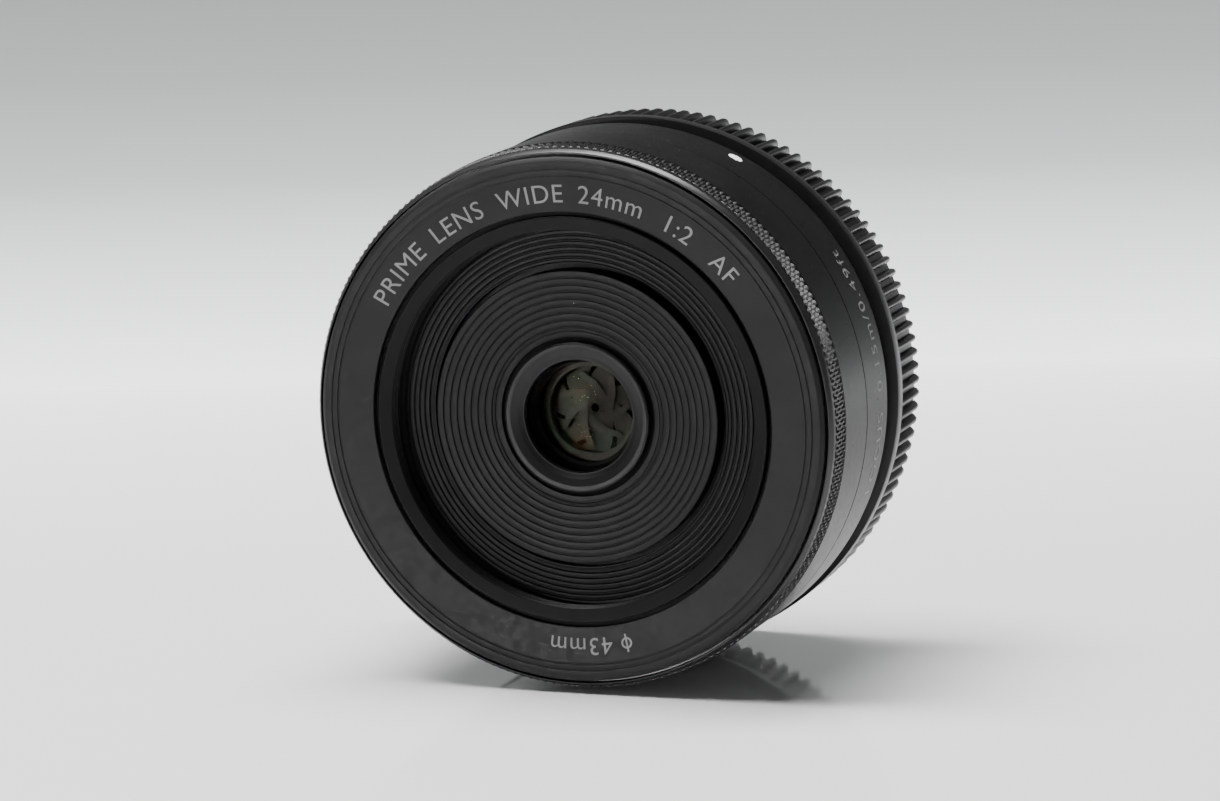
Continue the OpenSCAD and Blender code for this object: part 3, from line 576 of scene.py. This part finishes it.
elements = (
    ("lens_1", 7.3, 20.05, 18.9, 40, -22, LOOK["optical_glass"]),
    ("lens_2", 5.6, 18.1, 16.6, 18, 60, GREEN_GLASS),
    ("lens_3", 5.6, 16.59, 15.95, -60, -24, AMBER_GLASS),
    ("lens_4", 4.9, 12.1, 11.3, -14, -16, LOOK["optical_glass"]),
    ("lens_5", 6.2, 10.9, 7.6, 18, 14, LOOK["optical_glass"]),
    ("lens_6", 7.4, 6.9, 5.4, -30, 22, BACK_GLASS),
    ("lens_7", 9.4, 4.4, 0.8, 30, 60, BACK_GLASS),
)
for node, rim, front_z, rear_z, front_curve, rear_curve, material in elements:
    lathe(
        node.replace("lens", "element"), lens_outline(rim, front_z, rear_z, front_curve, rear_curve),
        "lens_unit", material, [node], corner=0.0, steps=160,
    )


# ---- Diaphragm ---------------------------------------------------------------------------------------

OPEN_R, CLOSED_R, PIVOT_R = 4.7, 0.45, 7.2
SHUT = 2 * math.degrees(math.asin((OPEN_R - CLOSED_R) / (2 * PIVOT_R)))
NEAREST = math.degrees(math.acos((OPEN_R - CLOSED_R) / (2 * PIVOT_R)))
BLADE_ARC = NEAREST + 49.5
# Rear face of a leaf, its rise in mm per radian about the axis, and its thickness
BLADE_LOW, BLADE_PITCH, BLADE_T = 13.56, 0.19, 0.05
# Where along the leaf, in degrees, the broad part ends, and its width there
WAIST, WAIST_W = 48, 1.8


def blade_width(angle):
    """Width of the leaf along its length: broad near the pivot, then narrowing to the rounded tip."""
    if angle < WAIST:
        return WAIST_W + 1.0 * min(1.0, max(0.0, (WAIST - angle) / 26)) ** 0.8
    return WAIST_W - 1.22 * (angle - WAIST) / (BLADE_ARC - WAIST)


def add_blade(bm, turn):
    """One leaf, swung shut about its pivot, and flexed to lie over one neighbour and under the other."""
    columns = []
    count = 48
    for k in range(-6, count + 1):
        a = BLADE_ARC * k / count
        w = blade_width(a)
        columns.append([(OPEN_R + w * s, a) for s in (0.0, 0.04, 0.25, 0.5, 0.75, 0.96, 1.0)])
    tip_w = blade_width(BLADE_ARC)
    for k in range(1, 7):
        t = math.radians(90 * k / 6)
        half = tip_w / 2 * math.cos(t)
        a = BLADE_ARC + math.degrees(tip_w / 2 * math.sin(t) / OPEN_R)
        mid = OPEN_R + tip_w / 2
        columns.append([(mid + half * s, a) for s in (-1.0, -0.92, -0.5, 0.0, 0.5, 0.92, 1.0)])
    sheets = []
    for side in (0, 1):
        sheet = []
        for column in columns:
            row = []
            for r, a in column:
                x = r * math.cos(math.radians(a)) - PIVOT_R
                y = r * math.sin(math.radians(a))
                c, s = math.cos(math.radians(SHUT)), math.sin(math.radians(SHUT))
                x, y = x * c - y * s + PIVOT_R, x * s + y * c
                about = math.degrees(math.atan2(y, x))
                about += 360 if about < -75 else 0
                z = BLADE_LOW + BLADE_PITCH * math.radians(about) + side * BLADE_T
                row.append(bm.verts.new(place(math.hypot(x, y), math.degrees(math.atan2(y, x)) + turn, z)))
            sheet.append(row)
        sheets.append(sheet)
    low, high = sheets
    rows, cols = len(low), len(low[0])
    for i in range(rows - 1):
        for j in range(cols - 1):
            for s in (low, high):
                bm.faces.new([s[i][j], s[i][j + 1], s[i + 1][j + 1], s[i + 1][j]])
        for j in (0, cols - 1):
            bm.faces.new([low[i][j], low[i + 1][j], high[i + 1][j], high[i][j]])
    for i in (0, rows - 1):
        for j in range(cols - 1):
            bm.faces.new([low[i][j], low[i][j + 1], high[i][j + 1], high[i][j]])
    pivot = []
    for z in (13.7, 14.9):
        ring = []
        for k in range(16):
            a = math.radians(360 * k / 16)
            x, y = PIVOT_R + 0.35 * math.cos(a), 0.35 * math.sin(a)
            ring.append(bm.verts.new(place(math.hypot(x, y), math.degrees(math.atan2(y, x)) + turn, z)))
        pivot.append(ring)
    for k in range(16):
        n = (k + 1) % 16
        bm.faces.new([pivot[0][k], pivot[0][n], pivot[1][n], pivot[1][k]])
    for ring in pivot:
        bm.faces.new(ring)


for i in range(7):
    bm = bmesh.new()
    add_blade(bm, i * 360 / 7)
    bmesh.ops.remove_doubles(bm, verts=bm.verts, dist=1e-7)
    node = "iris_blade_%d" % (i + 1)
    finish_mesh(bm, "leaf_%d" % (i + 1), node, LOOK["blade_black"], [node], weighted=False)


# ---- Mount and rear cap ------------------------------------------------------------------------------

CAP_R, CAP_RIBS = 30.75, 120
ROOT_R, TIP_R = 29.75, 30.65
RIB_FRONT, CAP_REAR = -2.35, -11.2


def rib_height(share):
    """Height of the rib across one pitch, 0 at the root to 1 on its rounded top."""
    x = min(1.0, abs(share) / 0.30)
    return (1 - x ** 2.6) ** 0.75


def add_cap(bm):
    shares = (
        -0.5, -0.40, -0.30, -0.285, -0.255, -0.20, -0.13, -0.05, 0.05, 0.13, 0.20, 0.255, 0.285, 0.30, 0.40,
    )
    # (radius between ribs, radius on a rib, z) down the outside
    rows = [
        (CAP_R - 0.14, CAP_R - 0.14, -0.30), (CAP_R - 0.04, CAP_R - 0.04, -0.34), (CAP_R, CAP_R, -0.46),
        (CAP_R, CAP_R, -2.02), (CAP_R - 0.03, CAP_R - 0.03, -2.10), (CAP_R - 0.10, CAP_R - 0.10, -2.16),
        (ROOT_R + 0.12, CAP_R - 0.13, -2.24), (ROOT_R, CAP_R - 0.12, RIB_FRONT),
        (ROOT_R, TIP_R, -2.75), (ROOT_R, TIP_R + 0.04, -3.6), (ROOT_R, TIP_R + 0.04, -6.5),
        (ROOT_R, TIP_R - 0.02, -9.0), (ROOT_R - 0.02, TIP_R - 0.22, -10.1),
        (ROOT_R - 0.08, TIP_R - 0.52, -10.55), (ROOT_R - 0.22, ROOT_R - 0.12, -10.85),
        (ROOT_R - 0.5, ROOT_R - 0.48, -11.08), (ROOT_R - 0.85, ROOT_R - 0.85, CAP_REAR),
    ]
    inside = [
        (25.9, CAP_REAR), (25.7, CAP_REAR + 0.25), (0.0, CAP_REAR + 0.25), (0.0, -9.8), (27.6, -9.8),
        (28.2, -9.2), (28.2, -1.6), (25.4, -1.6), (25.4, -0.3),
    ]
    columns = CAP_RIBS * len(shares)
    rings = []
    for root, tip, z in rows:
        ring = []
        for k in range(columns):
            share = shares[k % len(shares)]
            angle = (k // len(shares) + share) * 360 / CAP_RIBS
            ring.append(bm.verts.new(place(root + (tip - root) * rib_height(share), angle, z)))
        rings.append(ring)
    for r, z in inside:
        if r == 0.0:
            rings.append([bm.verts.new(place(0, 0, z))])
            continue
        rings.append([
            bm.verts.new(place(r, (k // len(shares) + shares[k % len(shares)]) * 360 / CAP_RIBS, z))
            for k in range(columns)
        ])
    skin(bm, rings, columns)


bm = bmesh.new()
add_cap(bm)
finish_mesh(
    bm, "ribbed_rear_cap", "rear_cap", LOOK["cap_black"], ["rear_cap"], weighted=False,
)


# ---- Lettering ---------------------------------------------------------------------------------------


def cap_height():
    """Height of a capital at text size 1."""
    curve = bpy.data.curves.new("measure", "FONT")
    curve.body = "H"
    obj = bpy.data.objects.new("measure", curve)
    bpy.context.scene.collection.objects.link(obj)
    bpy.context.view_layer.update()
    high = max(c[1] for c in obj.bound_box)
    bpy.data.objects.remove(obj)
    bpy.data.curves.remove(curve)
    return high


CAPITAL = cap_height()


def lettering(name, text, height, spacing, wrap, body, material):
    """Text as thin closed solids; wrap(u, v, w) gives a point u along, v up and w out, in mm."""
    curve = bpy.data.curves.new(name, "FONT")
    curve.body = text
    curve.align_x = "CENTER"
    curve.space_character = spacing
    curve.offset = -0.003
    curve.extrude = 0.05
    curve.resolution_u = 5
    source = bpy.data.objects.new(name + "_source", curve)
    bpy.context.scene.collection.objects.link(source)
    graph = bpy.context.evaluated_depsgraph_get()
    mesh = bpy.data.meshes.new_from_object(source.evaluated_get(graph))
    bm = bmesh.new()
    bm.from_mesh(mesh)
    bpy.data.objects.remove(source)
    bpy.data.curves.remove(curve)
    bpy.data.meshes.remove(mesh)
    scale = height / CAPITAL
    bmesh.ops.remove_doubles(bm, verts=bm.verts, dist=1e-5)
    span = max(abs(v.co.x) for v in bm.verts)
    step = 0.4 / scale
    cut = -span + step / 2
    while cut < span:
        both = bm.verts[:] + bm.edges[:] + bm.faces[:]
        bmesh.ops.bisect_plane(bm, geom=both, plane_co=(cut, 0, 0), plane_no=(1, 0, 0))
        cut += step
    for v in bm.verts:
        v.co = wrap(v.co.x * scale, v.co.y * scale, LETTER_PROUD if v.co.z > 0 else LETTER_SUNK)
    return finish_mesh(bm, name, body, material, weighted=False)


def on_face(middle, base_r):
    """Wraps text round the dished front face, clockwise, with its feet towards the centre."""
    def wrap(u, v, w):
        r = base_r + v
        z = FACE - name_rise * max(0.0, (groove_a - r) / (groove_a - FACE_IN))
        return place(r, middle - math.degrees(u / (base_r + 1.0)), z + w)
    return wrap


def on_barrel(middle, base_z):
    def wrap(u, v, w):
        return place(BARREL_R + w, middle + math.degrees(u / BARREL_R), base_z + v)
    return wrap


TEXT_R = 24.28
face_text = (
    ("text_kind", "PRIME", 141.0), ("text_object", "LENS", 120.0), ("text_angle", "WIDE", 98.9),
    ("text_focal_length", "24mm", 77.5), ("text_aperture", "1:2", 58.9), ("text_focus_type", "AF", 43.8),
)
for name, text, middle in face_text:
    lettering(name, text, 1.98, 1.1, on_face(middle, TEXT_R), "barrel", LETTER)
lettering("text_filter_size", "43mm", 1.88, 1.12, on_face(-88.4, 24.42), "barrel", LETTER)
lettering("text_closest_focus", "FOCUS  0.15m/0.49ft", 1.85, 1.2, on_barrel(6.8, 5.0), "barrel", SMALL_LETTER)


def diameter_sign(wrap, size):
    """A ring crossed by an upright bar in two halves, as thin solids in text coordinates."""
    count, stroke = 36, 0.2
    middle, outer = size / 2, size * 0.36
    bm = bmesh.new()
    loops = []
    for radius in (outer, outer - stroke):
        for w in (LETTER_SUNK, LETTER_PROUD):
            turns = [math.radians(360 / count * k) for k in range(count)]
            loops.append([
                bm.verts.new(wrap(radius * math.cos(a), middle + radius * math.sin(a), w)) for a in turns
            ])
    order = [loops[0], loops[1], loops[3], loops[2]]
    for a, b in zip(order, order[1:] + order[:1]):
        for k in range(count):
            n = (k + 1) % count
            bm.faces.new([a[k], a[n], b[n], b[k]])
    for low, high in ((-0.14, middle - outer + 0.05), (middle - outer + 0.19, size + 0.14)):
        corners = [(-stroke / 2, low), (stroke / 2, low), (stroke / 2, high), (-stroke / 2, high)]
        ends = []
        for w in (LETTER_SUNK, LETTER_PROUD):
            ends.append([bm.verts.new(wrap(u, v, w + 0.001)) for u, v in corners])
        for loop in ends:
            bm.faces.new(loop)
        for k in range(4):
            n = (k + 1) % 4
            bm.faces.new([ends[0][k], ends[0][n], ends[1][n], ends[1][k]])
    return finish_mesh(bm, "text_diameter_sign", "barrel", LETTER, weighted=False)


diameter_sign(on_face(-76.2, 24.5), 1.75)


# ---- CAD nodes that stay --------------------------------------------------------------------------------

slot_of = {p["node"]: p["material_slot"] for p in frame["record"]["subparts"]}
for node, obj in frame["nodes"].items():
    if not obj.hide_render:
        obj.data.materials.clear()
        obj.data.materials.append(LOOK[slot_of[node]])


# ---- Floor, backdrop, lights and camera ------------------------------------------------------------------

FLOOR = cad_low.z
AZIMUTH, ELEVATION, ROLL = map(math.radians, (19.51, 10.30, -1.45))
DISTANCE = 0.5492
SENSOR, FOCAL = 36.0, 147.5
ASIDE, ABOVE = 0.00454, 0.00233

forward = Vector((
    -math.sin(AZIMUTH) * math.cos(ELEVATION), math.cos(AZIMUTH) * math.cos(ELEVATION), -math.sin(ELEVATION),
))
level = Vector((math.cos(AZIMUTH), math.sin(AZIMUTH), 0))
upright = level.cross(forward)
right = level * math.cos(ROLL) + upright * math.sin(ROLL)
up = right.cross(forward)
front_centre = Vector((0, -FACE * MM, 0))
eye = front_centre + right * ASIDE + up * ABOVE - forward * DISTANCE

lens = bpy.data.cameras.new("camera")
lens.sensor_width = SENSOR
lens.lens = FOCAL
lens.clip_start, lens.clip_end = 0.05, 20.0
camera = bpy.data.objects.new("camera", lens)
bpy.context.scene.collection.objects.link(camera)
camera.matrix_world = Matrix((
    (right.x, up.x, -forward.x, eye.x),
    (right.y, up.y, -forward.y, eye.y),
    (right.z, up.z, -forward.z, eye.z),
    (0, 0, 0, 1),
))
bpy.context.scene.camera = camera


def stage_mesh(name, rows, material):
    bm = bmesh.new()
    made = [[bm.verts.new(p) for p in row] for row in rows]
    for a, b in zip(made, made[1:]):
        for k in range(len(a) - 1):
            face = bm.faces.new([a[k], a[k + 1], b[k + 1], b[k]])
            face.smooth = True
    mesh = bpy.data.meshes.new(name)
    bm.to_mesh(mesh)
    bm.free()
    obj = bpy.data.objects.new(name, mesh)
    bpy.context.scene.collection.objects.link(obj)
    mesh.materials.append(material)
    return obj


def floor_look():
    m = Nodes("floor_white")
    tone = m.mix(m.spread(m.noise(3.0, 2.0), 0.0, 1.0), (0.80, 0.815, 0.81, 1), (0.83, 0.84, 0.835, 1))
    m.shade(Base_Color=tone, Roughness=m.spread(m.noise(12.0), 0.05, 0.075), Specular_IOR_Level=0.5)
    return m.mat


def backdrop_look():
    """Matte grey card with painted light: it glows, brightest where it meets the floor and fading upwards."""
    m = Nodes("backdrop_painted_glow")
    xyz = m.add("ShaderNodeSeparateXYZ")
    m.join(m.coords, xyz.inputs[0])
    # Painted light: an emission ramp by height makes the card glow, strongest at its foot.
    ramp = m.add("ShaderNodeValToRGB")
    m.join(m.spread(xyz.outputs[2], 0.0, 1.0, FLOOR, FLOOR + 0.3), ramp.inputs[0])
    glow_levels = (
        (0.0, 2.95), (0.05, 1.95), (0.10, 1.02), (0.15, 0.68), (0.20, 0.52), (0.28, 0.22), (0.4, 0.07),
        (1.0, 0.02),
    )
    while len(ramp.color_ramp.elements) < len(glow_levels):
        ramp.color_ramp.elements.new(0.5)
    for stop, (position, level) in zip(ramp.color_ramp.elements, glow_levels):
        stop.position = position
        share = level / 3.0
        stop.color = (share * 0.965, share * 0.995, share, 1)
    card = m.shade(
        Base_Color=grey(0.03), Roughness=m.spread(m.noise(30.0), 0.85, 0.95), Specular_IOR_Level=0.1,
        Emission_Color=ramp.outputs[0], Emission_Strength=2.95,
    )
    choose = m.add("ShaderNodeMixShader")
    m.join(m.add("ShaderNodeNewGeometry").outputs["Backfacing"], choose.inputs[0])
    m.join(card.outputs[0], choose.inputs[1])
    m.join(m.add("ShaderNodeBsdfTransparent").outputs[0], choose.inputs[2])
    m.join(choose.outputs[0], m.out.inputs[0])
    return m.mat


flat = Vector((forward.x, forward.y, 0)).normalized()
across = Vector((level.x, level.y, 0))
# How far behind the lens the backdrop rises, the radius of its foot, how far the foot is sunk, its
# height, and the reach of floor and backdrop to each side, all in metres
edge, foot_r, foot_sunk, backdrop_high, reach = 0.18, 0.012, 0.0004, 1.4, 2.5
floor_low = Vector((0, 0, FLOOR))
stage_mesh(
    "floor_sheet",
    [[floor_low + flat * d + across * s for s in (-reach, 0, reach)] for d in (-3.0, 3.0)],
    floor_look(),
)
sweep = []
for k in range(9):
    bend = math.radians(90 * k / 8)
    d, h = edge + foot_r * math.sin(bend), foot_r * (1 - math.cos(bend)) - foot_sunk
    sweep.append([floor_low + flat * d + across * s + Vector((0, 0, h)) for s in (-reach, 0, reach)])
sweep.append([p + Vector((0, 0, backdrop_high)) for p in sweep[-1]])
stage_mesh("backdrop_sweep", sweep, backdrop_look())


def softbox(name, where, aim, size, power, colour=(1, 1, 1)):
    data = bpy.data.lights.new(name, "AREA")
    data.shape = "RECTANGLE"
    data.size, data.size_y = size
    data.energy = power
    data.color = colour
    obj = bpy.data.objects.new(name, data)
    obj.location = where
    obj.rotation_mode = "QUATERNION"
    obj.rotation_quaternion = (Vector(aim) - Vector(where)).to_track_quat("-Z", "Y")
    bpy.context.scene.collection.objects.link(obj)
    return obj


softbox("front_window", (-0.25, -0.80, 0.012), (0, -0.02, 0), (0.11, 0.075), 2.0, (1.0, 0.985, 0.98))
softbox("overhead_softbox", (-0.22, 0.19, 0.77), (-0.03, 0.01, 0), (0.86, 0.68), 68.0, (1.0, 0.995, 0.985))

world = bpy.data.worlds.new("studio")
bpy.context.scene.world = world
world.use_nodes = True
tree = world.node_tree
sky = tree.nodes.new("ShaderNodeTexCoord")
split = tree.nodes.new("ShaderNodeSeparateXYZ")
ramp = tree.nodes.new("ShaderNodeValToRGB")
tree.links.new(sky.outputs["Generated"], split.inputs[0])
tree.links.new(split.outputs[2], ramp.inputs[0])
tree.links.new(ramp.outputs[0], tree.nodes["Background"].inputs[0])
ramp.color_ramp.elements[0].position = 0.0
ramp.color_ramp.elements[0].color = (0.30, 0.31, 0.31, 1)
ramp.color_ramp.elements[1].position = 0.75
ramp.color_ramp.elements[1].color = (0.10, 0.105, 0.105, 1)
middle = ramp.color_ramp.elements.new(0.25)
middle.color = (0.22, 0.225, 0.225, 1)
tree.nodes["Background"].inputs[1].default_value = 1.0
